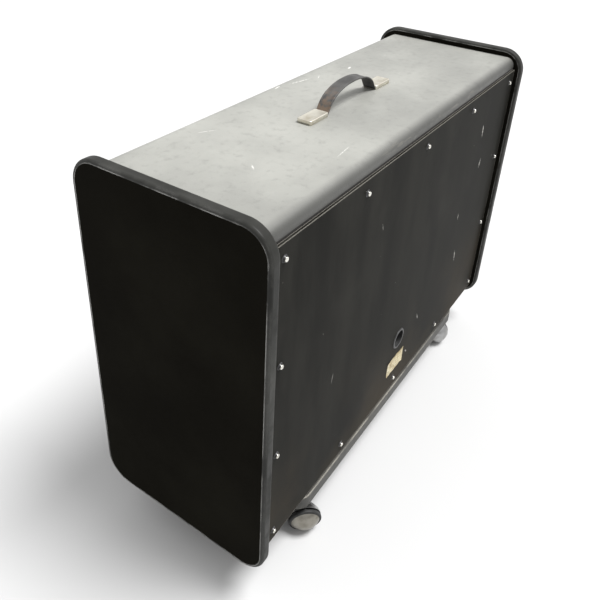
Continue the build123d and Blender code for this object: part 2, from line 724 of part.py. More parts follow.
def caster_rail(side):
    """A bar rounded at its ends, with a pocket for each caster socket and sunk screw holes."""
    plan = RectangleRounded(2 * RAIL_HALF_LENGTH, RAIL_WIDTH, RAIL_END_RADIUS)
    rail = extrude(plan, BODY_BOTTOM - RAIL_BOTTOM)
    rail = fillet(rail.edges().group_by(Axis.Z)[0], RAIL_EDGE)
    rail = fillet(rail.edges().group_by(Axis.Z)[-1], RAIL_TOP_EDGE)
    rail = Pos(0, side * RAIL_MIDDLE, RAIL_BOTTOM) * rail
    for stem_x, stem_y in stem_places():
        if stem_y * side > 0:
            pocket = rod(SOCKET_RADIUS + FIT_GAP, -1, SOCKET_HEIGHT + FIT_GAP)
            rail -= Pos(stem_x, stem_y, RAIL_BOTTOM) * pocket
    sunk = rod(RAIL_SCREW_HEAD + SCREW_CLEARANCE, -1, RAIL_SCREW_SINK)
    shank = rod(RAIL_SCREW_RADIUS + SCREW_CLEARANCE, RAIL_SCREW_SINK, BODY_BOTTOM - RAIL_BOTTOM + 1)
    for place in rail_screw_places(side):
        rail -= place * (sunk + shank)
    return rail


save("rear_caster_rail", caster_rail(1))
save("front_caster_rail", caster_rail(-1))
RAIL_SCREW_PLACES = rail_screw_places(1) + rail_screw_places(-1)
save("rail_screws", Compound(children=[place * rail_screw() for place in RAIL_SCREW_PLACES]))


# Caster sockets: a flanged blind tube pressed into the rail, which holds the kingpin

def caster_socket():
    socket = rod(FLANGE_RADIUS, FLANGE_BOTTOM, RAIL_BOTTOM) + rod(SOCKET_RADIUS, RAIL_BOTTOM, SOCKET_TOP)
    return socket - rod(KINGPIN_RADIUS + RUNNING_GAP, FLANGE_BOTTOM - 1, SOCKET_TOP - SOCKET_END)


save("caster_sockets", Compound(children=[Pos(x, y, 0) * caster_socket() for x, y in stem_places()]))


# Ball casters. The stem is on the Z axis; the wheel's axle has its own tilted frame, with +Z through the
# middle of the dome.

AXLE_FRAME = Plane(
    origin=(BALL_SIDE, BALL_TRAIL, BALL_HEIGHT),
    x_dir=(0, 1, 0),
    z_dir=(math.cos(TILT), 0, -math.sin(TILT)),
).location


def caster_hood():
    """Half-ball shell with a boss for the axle, a neck up to the socket and a kingpin."""
    shell = Sphere(HOOD_RADIUS) - Sphere(HOOD_RADIUS - HOOD_WALL)
    shell &= Pos(0, 0, -HOOD_EDGE - HOOD_RADIUS) * Box(4 * HOOD_RADIUS, 4 * HOOD_RADIUS, 2 * HOOD_RADIUS)
    boss = rod(HUB_RADIUS, -HOOD_RADIUS + HOOD_WALL / 2, -HOOD_EDGE)
    hood = AXLE_FRAME * (shell + boss)
    neck_bottom = BALL_HEIGHT + HOOD_RADIUS / 2
    neck = rod(NECK_RADIUS, neck_bottom, FLANGE_BOTTOM - SOFT_GAP)
    kingpin = rod(KINGPIN_RADIUS, neck_bottom, SOCKET_TOP - SOCKET_END - KINGPIN_END_GAP)
    hood = hood + neck + kingpin
    return hood - AXLE_FRAME * rod(AXLE_RADIUS, -HOOD_RADIUS + HOOD_WALL, 0)


def caster_axle():
    return AXLE_FRAME * rod(AXLE_RADIUS, -HOOD_RADIUS + HOOD_WALL, TYRE_WIDTH / 2 + AXLE_PAST_TYRE)


def caster_wheel():
    """Domed disc with a rim for the tyre and a hub, and a blind bore for the axle."""
    base = TYRE_WIDTH / 2
    curve = (DOME_RADIUS ** 2 + DOME_HEIGHT ** 2) / (2 * DOME_HEIGHT)
    dome = Pos(0, 0, base + DOME_HEIGHT - curve) * (Sphere(curve) - Sphere(curve - DOME_WALL))
    wheel = dome & rod(DOME_RADIUS, base, base + DOME_HEIGHT)
    wheel += rod(RIM_RADIUS, -base + RIM_STEP, base + RIM_STEP)
    wheel += rod(HUB_RADIUS, 0, base + DOME_HEIGHT - DOME_WALL / 2)
    wheel -= rod(AXLE_RADIUS + RUNNING_GAP, -base, base + AXLE_PAST_TYRE + AXLE_END_GAP)
    return AXLE_FRAME * wheel


def caster_tyre():
    section = Pos((RIM_RADIUS + TYRE_RADIUS) / 2, 0) * Rectangle(TYRE_RADIUS - RIM_RADIUS, TYRE_WIDTH)
    outer_corners = section.vertices().group_by(Axis.X)[-1]
    section = fillet(outer_corners, TYRE_ROUNDING)
    return AXLE_FRAME * turned(section)


for name, x_side, y_side, facing in CASTERS:
    place = Pos(x_side * STEM_X, y_side * STEM_Y, 0) * Rot(0, 0, facing)
    save(f"{name}_caster_hood", place * caster_hood())
    save(f"{name}_caster_axle", place * caster_axle())
    save(f"{name}_caster_wheel", place * caster_wheel())
    save(f"{name}_caster_tyre", place * caster_tyre())
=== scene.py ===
import math

import bmesh
import bpy
from mathutils import Matrix, Vector, noise


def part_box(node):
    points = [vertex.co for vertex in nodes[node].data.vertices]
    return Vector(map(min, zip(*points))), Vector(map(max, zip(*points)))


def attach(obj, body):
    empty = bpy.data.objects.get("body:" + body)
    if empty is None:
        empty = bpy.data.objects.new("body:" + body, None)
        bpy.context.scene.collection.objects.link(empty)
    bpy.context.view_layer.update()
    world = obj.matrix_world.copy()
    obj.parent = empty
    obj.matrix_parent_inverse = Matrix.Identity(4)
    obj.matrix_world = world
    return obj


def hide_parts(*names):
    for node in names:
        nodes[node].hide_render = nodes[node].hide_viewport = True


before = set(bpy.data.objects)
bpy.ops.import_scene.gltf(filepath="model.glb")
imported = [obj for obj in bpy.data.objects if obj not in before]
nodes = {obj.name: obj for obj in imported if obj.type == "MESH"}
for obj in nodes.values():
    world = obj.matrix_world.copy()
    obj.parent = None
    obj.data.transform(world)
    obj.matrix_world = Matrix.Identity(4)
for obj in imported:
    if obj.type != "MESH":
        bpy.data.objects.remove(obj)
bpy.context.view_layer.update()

MM = 0.001

# Handle: the caps' length, the strap's thickness and how far its flat ends run before they leave the caps
CAP_LENGTH = 51 * MM
CAP_CORNER = 3 * MM
CAP_CORNER_LEAST = 0.8 * MM
CAP_CORNER_SHRINK = 0.3
STRAP_THICKNESS = 3 * MM
STRAP_FLAT = 6 * MM
STRAP_WOBBLE = 0.3 * MM
ARCH_STEPS = 8

# The caps' shoulders, from the outline inwards: how far in, in millimetres, and how high, as a share
CAP_PROFILE = [(0.0, 0.0), (0.0, 0.86), (0.25, 0.95), (0.8, 1.0), (1.8, 1.0), (3.0, 0.96), (6.0, 0.93),
               (10.0, 0.92)]

# The strap's arch from the middle outwards: shares of the half span and of the rise
ARCH = [(0.0, 1.0), (0.32, 0.95), (0.62, 0.77), (0.84, 0.47), (0.95, 0.12)]

# The strap's section: its ribs' place and width across it, and the web's share of the thickness
SECTION_STEPS = 28
RIB_PLACE = 0.86
RIB_WIDTH = 0.09
EDGE_START = 0.9
WEB_SHARE = 0.55
UNDERSIDE_SHARE = 0.8

# Label: how ragged its edge is, how far its corners lift, and how it stands off the panel
LABEL_COLUMNS = 56
LABEL_ROWS = 32
LABEL_TEAR = 5 * MM
LABEL_STANDOFF = 0.1 * MM
LABEL_RIPPLE = 0.1 * MM
CORNER_LIFT = 4 * MM
CORNER_START = 0.78

# Grille cloth: how much is turned back, how it sags between the bars and how its edge rounds over
CLOTH_COLUMNS = 120
CLOTH_ROWS = 76
CLOTH_TURN_BACK = 7 * MM
CLOTH_STANDOFF = 0.1 * MM
CLOTH_SLACK = 0.64 * MM
CLOTH_RIPPLE = 0.175 * MM
CLOTH_EDGE = 0.6 * MM

# Studio: the floor's reach in metres, and the camera's place, direction, roll, lens and shift
FLOOR_REACH = 40.0
CAMERA_PLACE = (0.9312, 0.4994, 1.0535)
CAMERA_AZIMUTH = 123.12
CAMERA_ELEVATION = 29.11
CAMERA_ROLL = 2.65
CAMERA_LENS = 39.67
CAMERA_SENSOR = 36.0
CAMERA_SHIFT = (0.0167, -0.1667)


# ---------------------------------------------------------------- materials

class Surface:
    """A procedural material on object coordinates, which are metres in the cabinet's own frame."""

    def __init__(self, name, roughness=0.5, metallic=0.0, specular=0.5):
        self.material = bpy.data.materials.new(name)
        self.material.use_nodes = True
        self.tree = self.material.node_tree
        self.shader = self.tree.nodes["Principled BSDF"]
        self.shader.inputs["Roughness"].default_value = roughness
        self.shader.inputs["Metallic"].default_value = metallic
        self.shader.inputs["Specular IOR Level"].default_value = specular
        self.place = self.add("ShaderNodeTexCoord").outputs["Object"]

    def add(self, kind, **settings):
        node = self.tree.nodes.new(kind)
        for key, value in settings.items():
            setattr(node, key, value)
        return node

    def feed(self, socket, value):
        """Connect a socket, or set a plain number or colour on it."""
        if isinstance(value, bpy.types.NodeSocket):
            self.tree.links.new(value, socket)
        elif isinstance(value, tuple) and len(value) == 3 and socket.type == "RGBA":
            socket.default_value = (*value, 1.0)
        else:
            socket.default_value = value

    def stretched(self, stretch):
        """The place with each coordinate scaled."""
        mapping = self.add("ShaderNodeMapping")
        self.feed(mapping.inputs["Vector"], self.place)
        mapping.inputs["Scale"].default_value = stretch
        return mapping.outputs["Vector"]

    def noise(self, scale, detail=4.0, roughness=0.55, stretch=None, distortion=0.0):
        texture = self.add("ShaderNodeTexNoise")
        self.feed(texture.inputs["Vector"], self.stretched(stretch) if stretch else self.place)
        texture.inputs["Scale"].default_value = scale
        texture.inputs["Detail"].default_value = detail
        texture.inputs["Roughness"].default_value = roughness
        texture.inputs["Distortion"].default_value = distortion
        return texture.outputs["Fac"]

    def cells(self, scale, feature="F1"):
        texture = self.add("ShaderNodeTexVoronoi", feature=feature)
        self.feed(texture.inputs["Vector"], self.place)
        texture.inputs["Scale"].default_value = scale
        return texture.outputs["Distance"]

    def bands(self, scale, direction):
        texture = self.add("ShaderNodeTexWave", bands_direction=direction)
        self.feed(texture.inputs["Vector"], self.place)
        texture.inputs["Scale"].default_value = scale
        return texture.outputs["Fac"]

    def ramp(self, source, low, high):
        """0 below low, 1 above high, smooth between them."""
        node = self.add("ShaderNodeMapRange", interpolation_type="SMOOTHSTEP")
        self.feed(node.inputs["Value"], source)
        node.inputs["From Min"].default_value = low
        node.inputs["From Max"].default_value = high
        return node.outputs["Result"]

    def maths(self, operation, first, second):
        node = self.add("ShaderNodeMath", operation=operation)
        self.feed(node.inputs[0], first)
        self.feed(node.inputs[1], second)
        return node.outputs["Value"]

    def times(self, first, second):
        return self.maths("MULTIPLY", first, second)

    def largest(self, first, second):
        return self.maths("MAXIMUM", first, second)

    def blend(self, factor, first, second):
        node = self.add("ShaderNodeMix", data_type="RGBA")
        self.feed(node.inputs["Factor"], factor)
        self.feed(node.inputs[6], first)
        self.feed(node.inputs[7], second)
        return node.outputs[2]

    def part(self, axis):
        """One coordinate of the place."""
        node = self.add("ShaderNodeSeparateXYZ")
        self.feed(node.inputs["Vector"], self.place)
        return node.outputs[axis]

    def sharp_edges(self, radius, low=0.02, high=0.2):
        """1 on sharp outside edges, from how far a rounded normal leans from the true one."""
        bevel = self.add("ShaderNodeBevel", samples=4)
        bevel.inputs["Radius"].default_value = radius
        geometry = self.add("ShaderNodeNewGeometry")
        dot = self.add("ShaderNodeVectorMath", operation="DOT_PRODUCT")
        self.feed(dot.inputs[0], bevel.outputs["Normal"])
        self.feed(dot.inputs[1], geometry.outputs["Normal"])
        lean = self.maths("SUBTRACT", 1.0, dot.outputs["Value"])
        return self.ramp(lean, low, high)

    def streak(self, centre, half_size, turn=(0.0, 0.0, 0.0)):
        """A soft mark: 1 at its centre, 0 outside an ellipsoid of the half sizes."""
        mapping = self.add("ShaderNodeMapping", vector_type="TEXTURE")
        self.feed(mapping.inputs["Vector"], self.place)
        mapping.inputs["Location"].default_value = centre
        mapping.inputs["Rotation"].default_value = turn
        mapping.inputs["Scale"].default_value = half_size
        length = self.add("ShaderNodeVectorMath", operation="LENGTH")
        self.feed(length.inputs[0], mapping.outputs["Vector"])
        return self.maths("SUBTRACT", 1.0, self.ramp(length.outputs["Value"], 0.45, 1.0))

    def colour(self, value):
        self.feed(self.shader.inputs["Base Color"], value)

    def rough(self, value):
        self.feed(self.shader.inputs["Roughness"], value)

    def rough_between(self, mask, low, high):
        node = self.add("ShaderNodeMapRange")
        self.feed(node.inputs["Value"], mask)
        node.inputs["To Min"].default_value = low
        node.inputs["To Max"].default_value = high
        self.rough(node.outputs["Result"])

    def bump(self, height, strength, distance):
        node = self.add("ShaderNodeBump")
        node.inputs["Strength"].default_value = strength
        node.inputs["Distance"].default_value = distance
        self.feed(node.inputs["Height"], height)
        if self.shader.inputs["Normal"].is_linked:
            before = self.shader.inputs["Normal"].links[0].from_socket
            self.feed(node.inputs["Normal"], before)
        self.feed(self.shader.inputs["Normal"], node.outputs["Normal"])


def grained_vinyl(name, colour, faded, roughness, specular):
    """Grained leatherette stretched over board: fine pebbles, creases, soft fading and scuffs."""
    vinyl = Surface(name, specular=specular)
    pebbles = vinyl.cells(620.0)
    creases = vinyl.cells(260.0, "DISTANCE_TO_EDGE")
    cloudy = vinyl.noise(3.5, 6.0)
    fine = vinyl.noise(85.0, 5.0)
    base = vinyl.blend(vinyl.ramp(cloudy, 0.35, 0.7), colour, faded)
    base = vinyl.blend(vinyl.times(vinyl.ramp(fine, 0.5, 0.8), 0.35), base, tuple(0.6 * c for c in colour))
    scuffs = vinyl.noise(38.0, 8.0, 0.7, stretch=(0.6, 2.2, 1.0), distortion=0.6)
    scuff_mask = vinyl.times(vinyl.ramp(scuffs, 0.66, 0.74), vinyl.ramp(vinyl.noise(7.0, 3.0), 0.5, 0.66))
    base = vinyl.blend(vinyl.times(scuff_mask, 0.7), base, tuple(min(1.0, 2.6 * c + 0.08) for c in faded))
    vinyl.colour(base)
    vinyl.rough_between(fine, roughness - 0.08, roughness + 0.12)
    vinyl.bump(pebbles, 0.35, 0.35 * MM)
    vinyl.bump(creases, 0.25, 0.3 * MM)
    return vinyl


# White scrapes on the top: X and Y as fractions of its size from its middle, then the half length
# along X and the half width in millimetres, the turn in degrees and the strength.
TOP_MARKS = [
    (-0.02, -0.40, 30.0, 1.2, -14.0, 0.9),
    (-0.075, -0.36, 14.0, 1.0, 24.0, 0.8),
    (0.04, -0.44, 12.0, 1.4, 8.0, 0.7),
    (-0.17, -0.30, 9.0, 2.2, 10.0, 0.9),
    (0.30, -0.33, 18.0, 1.0, -30.0, 0.5),
    (0.22, 0.34, 26.0, 0.9, 6.0, 0.5),
    (0.36, 0.10, 11.0, 1.6, 50.0, 0.45),
]


def top_vinyl():
    low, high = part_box("top_board")
    # Painted light: the top's black leatherette is coloured light grey for the overhead sheen on it; the
    # same vinyl on the rails is near black.
    vinyl = grained_vinyl("vinyl_top_painted_light", (0.235, 0.235, 0.218), (0.345, 0.345, 0.318), 0.42, 0.5)
    base = vinyl.shader.inputs["Base Color"].links[0].from_socket
    middle = (low + high) / 2
    size = high - low
    for x, y, half_length, half_width, turn, strength in TOP_MARKS:
        centre = (middle.x + x * size.x, middle.y + y * size.y, high.z)
        mark = vinyl.streak(centre, (half_length * MM, half_width * MM, 1.0), (0, 0, math.radians(turn)))
        mark = vinyl.times(mark, vinyl.ramp(vinyl.noise(210.0, 4.0), 0.35, 0.55))
        base = vinyl.blend(vinyl.times(mark, strength), base, (0.85, 0.84, 0.8))
    # Painted shade: the rear 20 mm of the top, where it rounds over towards the back, darkened nearly to
    # black.
    rear = vinyl.ramp(vinyl.part("Y"), high.y - 20 * MM, high.y)
    base = vinyl.blend(vinyl.times(rear, 0.85), base, (0.03, 0.03, 0.028))
    edges = vinyl.ramp(vinyl.noise(20.0, 6.0, 0.7, stretch=(0.4, 3.0, 3.0)), 0.55, 0.68)
    base = vinyl.blend(vinyl.times(vinyl.times(rear, edges), 0.5), base, (0.2, 0.19, 0.165))
    vinyl.colour(base)
    return vinyl.material


def rail_vinyl():
    vinyl = grained_vinyl("vinyl_rails", (0.03, 0.03, 0.028), (0.06, 0.057, 0.05), 0.5, 0.4)
    # Pale brownish colour in patches on the rails' rounded edges: partly wear and partly a painted
    # highlight along them.
    worn = vinyl.sharp_edges(5 * MM, 0.01, 0.16)
    patchy = vinyl.times(worn, vinyl.ramp(vinyl.noise(16.0, 4.0), 0.3, 0.6))
    before = vinyl.shader.inputs["Base Color"].links[0].from_socket
    vinyl.colour(vinyl.blend(patchy, before, (0.42, 0.4, 0.34)))
    return vinyl.material


def cheek_face():
    """Flat black end panel: nearly matte, with faint rubbed patches."""
    face = Surface("cheek_black", specular=0.008)
    cloudy = face.noise(5.0, 6.0)
    fine = face.noise(140.0, 4.0)
    base = face.blend(face.ramp(cloudy, 0.35, 0.75), (0.006, 0.0054, 0.004), (0.0095, 0.0088, 0.0064))
    rubbed = face.times(face.ramp(face.noise(22.0, 8.0, 0.75, stretch=(1, 0.8, 2.6)), 0.68, 0.76), 0.4)
    face.colour(face.blend(rubbed, base, (0.04, 0.037, 0.03)))
    face.rough_between(fine, 0.55, 0.75)
    face.bump(face.cells(520.0), 0.22, 0.3 * MM)
    return face.material


def edge_band():
    """Satin grey-black moulding: scratched, with chips, and pale colour along its corners that is partly
    wear and partly painted highlight.
    """
    band = Surface("edge_moulding", specular=0.1)
    cloudy = band.noise(9.0, 5.0)
    base = band.blend(band.ramp(cloudy, 0.3, 0.7), (0.018, 0.018, 0.0165), (0.045, 0.045, 0.041))
    # Pale colour on the moulding's corners: partly wear and partly a painted highlight along the edge.
    edges = band.sharp_edges(3.5 * MM, 0.006, 0.12)
    patches = band.ramp(band.noise(24.0, 6.0, 0.65), 0.36, 0.58)
    base = band.blend(band.times(edges, patches), base, (0.46, 0.455, 0.435))
    chips = band.ramp(band.noise(75.0, 7.0, 0.7), 0.69, 0.73)
    chip_zone = band.ramp(band.noise(6.0, 2.0), 0.55, 0.68)
    base = band.blend(band.times(chips, chip_zone), base, (0.55, 0.54, 0.5))
    band.colour(base)
    band.rough_between(patches, 0.34, 0.55)
    band.bump(band.noise(160.0, 6.0), 0.15, 0.3 * MM)
    return band.material


# White nicks and smudges on the back panel: X and Z as fractions of its size from its middle, then the
# half width and half height in millimetres, the turn in degrees and the strength.
PANEL_MARKS = [
    (-0.335, 0.335, 2.2, 16.0, 8.0, 0.9),
    (-0.36, 0.19, 1.8, 13.0, -14.0, 0.85),
    (-0.30, -0.18, 2.0, 18.0, 12.0, 0.75),
    (-0.27, 0.02, 1.6, 9.0, 4.0, 0.6),
    (0.16, 0.3, 1.2, 9.0, 20.0, 0.3),
    (0.3, -0.1, 1.2, 12.0, -10.0, 0.3),
    (-0.1, -0.28, 1.6, 11.0, 25.0, 0.5),
    (-0.06, -0.40, 2.4, 6.0, 40.0, 0.8),
]


def panel_paint():
    """Dark grey painted hardboard, smudged in upright streaks, browner at the foot, with pale nicks."""
    low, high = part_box("back_panel")
    paint = Surface("panel_paint", specular=0.03)
    streaks = paint.noise(14.0, 7.0, 0.6, stretch=(1.0, 1.0, 0.22))
    clouds = paint.noise(4.0, 5.0)
    fine = paint.noise(190.0, 5.0)
    base = paint.blend(paint.ramp(streaks, 0.3, 0.72), (0.0085, 0.0083, 0.007), (0.021, 0.0205, 0.0178))
    base = paint.blend(paint.times(paint.ramp(clouds, 0.45, 0.75), 0.5), base, (0.036, 0.034, 0.03))
    foot = paint.maths("SUBTRACT", 1.0, paint.ramp(paint.part("Z"), low.z, low.z + 0.45 * (high.z - low.z)))
    foot = paint.times(foot, paint.ramp(paint.noise(5.0, 5.0), 0.35, 0.65))
    base = paint.blend(paint.times(foot, 0.6), base, (0.042, 0.033, 0.022))
    drips = paint.ramp(paint.noise(46.0, 8.0, 0.75, stretch=(1.6, 1.0, 0.16)), 0.69, 0.75)
    base = paint.blend(paint.times(drips, 0.4), base, (0.16, 0.155, 0.145))
    specks = paint.times(paint.ramp(paint.noise(120.0, 3.0), 0.74, 0.78), 0.6)
    base = paint.blend(specks, base, (0.3, 0.29, 0.27))
    middle = (low + high) / 2
    size = high - low
    for x, z, half_width, half_height, turn, strength in PANEL_MARKS:
        centre = (middle.x + x * size.x, high.y, middle.z + z * size.z)
        mark = paint.streak(centre, (half_width * MM, 1.0, half_height * MM), (0, math.radians(turn), 0))
        mark = paint.times(mark, paint.ramp(paint.noise(330.0, 3.0), 0.35, 0.55))
        base = paint.blend(paint.times(mark, strength), base, (0.72, 0.7, 0.66))
    # Pale colour on the panel's edges: partly bare worn edges and partly a painted highlight for the lit
    # top edge.
    edges = paint.sharp_edges(2.5 * MM, 0.01, 0.2)
    base = paint.blend(paint.times(edges, 0.8), base, (0.3, 0.285, 0.25))
    paint.colour(base)
    paint.rough_between(streaks, 0.42, 0.62)
    paint.bump(fine, 0.12, 0.3 * MM)
    paint.bump(paint.noise(30.0, 3.0), 0.08, 0.6 * MM)
    return paint.material


def plated(name, colour, dull, roughness):
    """Plated or bare metal: cloudy tarnish, fine scratches and darker pits."""
    metal = Surface(name, metallic=1.0)
    cloudy = metal.noise(60.0, 5.0)
    base = metal.blend(metal.ramp(cloudy, 0.4, 0.75), colour, dull)
    pits = metal.times(metal.ramp(metal.noise(420.0, 3.0), 0.68, 0.75), 0.6)
    metal.colour(metal.blend(pits, base, tuple(0.35 * c for c in dull)))
    scratches = metal.noise(700.0, 3.0, 0.6, stretch=(1.0, 6.0, 1.0))
    metal.rough_between(scratches, roughness - 0.07, roughness + 0.12)
    metal.bump(scratches, 0.08, 0.1 * MM)
    return metal.material


def plastic(name, colour, roughness, specular=0.5, grain=900.0):
    """Moulded plastic or rubber: slight colour drift, fine moulded grain and rubbed high spots."""
    body = Surface(name, specular=specular)
    drift = body.noise(40.0, 4.0)
    paler = tuple(min(1.0, 1.7 * c + 0.01) for c in colour)
    base = body.blend(body.ramp(drift, 0.4, 0.75), colour, paler)
    dust = body.times(body.ramp(body.noise(220.0, 6.0, 0.7), 0.62, 0.75), 0.25)
    body.colour(body.blend(dust, base, tuple(min(1.0, 3.0 * c + 0.06) for c in colour)))
    body.rough_between(drift, roughness - 0.06, roughness + 0.1)
    body.bump(body.noise(grain, 2.0), 0.15, 0.12 * MM)
    return body.material


def strap_rubber():
    """Dark moulded strap, dusty along its raised edges and browned where hands rub it."""
    low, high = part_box("handle_strap")
    rubber = Surface("strap_rubber", specular=0.4)
    drift = rubber.noise(55.0, 5.0)
    base = rubber.blend(rubber.ramp(drift, 0.35, 0.7), (0.042, 0.041, 0.04), (0.085, 0.083, 0.08))
    near = rubber.ramp(rubber.part("X"), high.x - 0.4 * (high.x - low.x), high.x - 0.12 * (high.x - low.x))
    worn = rubber.times(near, rubber.ramp(rubber.noise(120.0, 5.0), 0.4, 0.6))
    base = rubber.blend(rubber.times(worn, 0.75), base, (0.2, 0.13, 0.08))
    edges = rubber.sharp_edges(1.2 * MM, 0.02, 0.3)
    base = rubber.blend(rubber.times(edges, 0.5), base, (0.3, 0.29, 0.275))
    rubber.colour(base)
    rubber.rough_between(drift, 0.45, 0.65)
    rubber.bump(rubber.noise(800.0, 3.0), 0.18, 0.15 * MM)
    rubber.bump(rubber.bands(260.0, "X"), 0.1, 0.15 * MM)
    return rubber.material


def paper_label():
    """Blank yellowed label: ruled with faint lines, stained and darker where it has torn."""
    low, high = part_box("input_label")
    paper = Surface("label_paper", roughness=0.8, specular=0.2)
    stain = paper.noise(70.0, 6.0, 0.65)
    base = paper.blend(paper.ramp(stain, 0.4, 0.7), (0.62, 0.55, 0.37), (0.36, 0.28, 0.15))
    rules = paper.ramp(paper.bands(48.0, "Z"), 0.86, 0.95)
    base = paper.blend(paper.times(rules, 0.65), base, (0.07, 0.065, 0.06))
    torn = paper.ramp(paper.noise(150.0, 7.0, 0.7), 0.6, 0.66)
    base = paper.blend(paper.times(torn, 0.85), base, (0.045, 0.042, 0.038))
    rubbed = paper.ramp(paper.noise(90.0, 3.0), 0.62, 0.7)
    paper.colour(paper.blend(paper.times(rubbed, 0.5), base, (0.78, 0.75, 0.66)))
    paper.bump(paper.noise(420.0, 5.0), 0.4, 0.2 * MM)
    return paper.material


def speaker_cloth():
    """Plain weave of thick black and silver-grey threads."""
    cloth = Surface("speaker_cloth", roughness=0.85, specular=0.25)
    cloth.shader.inputs["Sheen Weight"].default_value = 0.2
    warp = cloth.bands(330.0, "X")
    weft = cloth.bands(330.0, "Z")
    checks = cloth.ramp(cloth.maths("SUBTRACT", warp, weft), -0.3, 0.3)
    slub = cloth.noise(60.0, 5.0, 0.6, stretch=(1.0, 1.0, 6.0))
    base = cloth.blend(checks, (0.016, 0.016, 0.018), (0.05, 0.05, 0.053))
    glint = cloth.times(cloth.ramp(cloth.times(warp, weft), 0.55, 0.9), cloth.ramp(slub, 0.5, 0.7))
    base = cloth.blend(glint, base, (0.28, 0.28, 0.29))
    dust = cloth.times(cloth.ramp(cloth.noise(6.0, 6.0), 0.5, 0.8), 0.18)
    cloth.colour(cloth.blend(dust, base, (0.2, 0.19, 0.17)))
    cloth.bump(cloth.largest(warp, weft), 0.6, 0.5 * MM)
    return cloth.material


def timber(name, pale, dark, roughness=0.65):
    """Softwood or ply with long grain and darker rings."""
    wood = Surface(name, specular=0.3)
    rings = wood.noise(22.0, 7.0, 0.6, stretch=(0.12, 3.0, 3.0), distortion=0.8)
    fibres = wood.noise(260.0, 4.0, 0.6, stretch=(0.08, 1.0, 1.0))
    base = wood.blend(wood.ramp(rings, 0.35, 0.7), pale, dark)
    base = wood.blend(wood.times(wood.ramp(fibres, 0.5, 0.8), 0.4), base, tuple(0.6 * c for c in dark))
    wood.colour(base)
    wood.rough_between(fibres, roughness - 0.1, roughness + 0.1)
    wood.bump(fibres, 0.2, 0.25 * MM)
    return wood.material


def cone_paper():
    """Felted paper cone with faint fibres and pale flecks."""
    paper = Surface("cone_paper", roughness=0.9, specular=0.15)
    fibres = paper.noise(500.0, 6.0, 0.7)
    base = paper.blend(paper.ramp(fibres, 0.35, 0.7), (0.02, 0.02, 0.019), (0.05, 0.048, 0.045))
    flecks = paper.times(paper.ramp(paper.noise(900.0, 2.0), 0.7, 0.76), 0.4)
    paper.colour(paper.blend(flecks, base, (0.2, 0.19, 0.16)))
    paper.bump(fibres, 0.3, 0.3 * MM)
    return paper.material


def paint(material, *names):
    """Give CAD nodes a material in place of their plain one."""
    for name in names:
        for slot in nodes[name].material_slots:
            slot.material = material


CASTERS = ("rear_right", "rear_left", "front_left", "front_right")
SIDES = ("right", "left")

nickel = plated("nickel", (0.82, 0.8, 0.74), (0.6, 0.57, 0.5), 0.22)
zinc = plated("zinc_steel", (0.6, 0.6, 0.61), (0.42, 0.42, 0.42), 0.38)
hood_plate = plated("hood_plate", (0.42, 0.42, 0.42), (0.27, 0.265, 0.255), 0.28)
dome_plate = plated("dome_plate", (0.3, 0.285, 0.25), (0.2, 0.185, 0.155), 0.3)
tyre_rubber = plastic("tyre_rubber", (0.014, 0.014, 0.014), 0.6, 0.4, 500.0)
dish_plastic = plastic("dish_plastic", (0.018, 0.018, 0.018), 0.35, 0.5, 1200.0)
black_enamel = plastic("black_enamel", (0.02, 0.02, 0.021), 0.35, 0.5, 700.0)
dark_iron = plated("dark_iron", (0.2, 0.2, 0.21), (0.12, 0.12, 0.12), 0.5)
pale_timber = timber("pale_timber", (0.52, 0.36, 0.2), (0.36, 0.22, 0.11))
black_timber = timber("black_timber", (0.02, 0.019, 0.018), (0.034, 0.032, 0.03), 0.75)
wire_cover = plastic("wire_cover", (0.03, 0.03, 0.032), 0.5)
doped_cloth = timber("doped_cloth", (0.5, 0.36, 0.15), (0.4, 0.27, 0.1), 0.8)
roll_rubber = plastic("roll_rubber", (0.02, 0.02, 0.02), 0.55)

paint(top_vinyl(), "top_board")
paint(rail_vinyl(), "rear_caster_rail", "front_caster_rail", "bottom_board")
paint(cheek_face(), "right_cheek", "left_cheek")
paint(edge_band(), "right_edge_band", "left_edge_band")
paint(panel_paint(), "back_panel")
paint(nickel, "panel_screws", "jack_nut", "jack_socket")
paint(black_enamel, "panel_washers")
paint(zinc, "handle_brackets", "handle_screws", "rail_screws", "driver_screws", "caster_sockets")
paint(dish_plastic, "jack_dish")
paint(black_timber, "rear_cleat_top", "rear_cleat_bottom", "rear_cleat_sides", "baffle_board",
      "grille_frame")
paint(pale_timber, "baffle_cleats", "baffle_stiffener")
paint(wire_cover, "speaker_wires")
paper_cone = cone_paper()
for side in SIDES:
    paint(black_enamel, f"{side}_basket")
    paint(dark_iron, f"{side}_magnet")
    paint(zinc, f"{side}_voice_coil")
    paint(doped_cloth, f"{side}_spider")
    paint(paper_cone, f"{side}_cone")
    paint(roll_rubber, f"{side}_surround")
for caster in CASTERS:
    paint(hood_plate, f"{caster}_caster_hood")
    paint(zinc, f"{caster}_caster_axle")
    paint(dome_plate, f"{caster}_caster_wheel")
    paint(tyre_rubber, f"{caster}_caster_tyre")


# ---------------------------------------------------------------- mesh helpers

def make_piece(name, verts, faces, material, replaced):
    """A smooth mesh piece on the cabinet, standing for a CAD node."""
    mesh = bpy.data.meshes.new(name)
    mesh.from_pydata(verts, [], faces)
    mesh.validate()
    bm = bmesh.new()
    bm.from_mesh(mesh)
    bmesh.ops.recalc_face_normals(bm, faces=bm.faces)
    bm.to_mesh(mesh)
    bm.free()
    for polygon in mesh.polygons:
        polygon.use_smooth = True
    mesh.materials.append(material)
    piece = bpy.data.objects.new(name, mesh)
    bpy.context.scene.collection.objects.link(piece)
    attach(piece, "cabinet")
    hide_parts(replaced)
    return piece


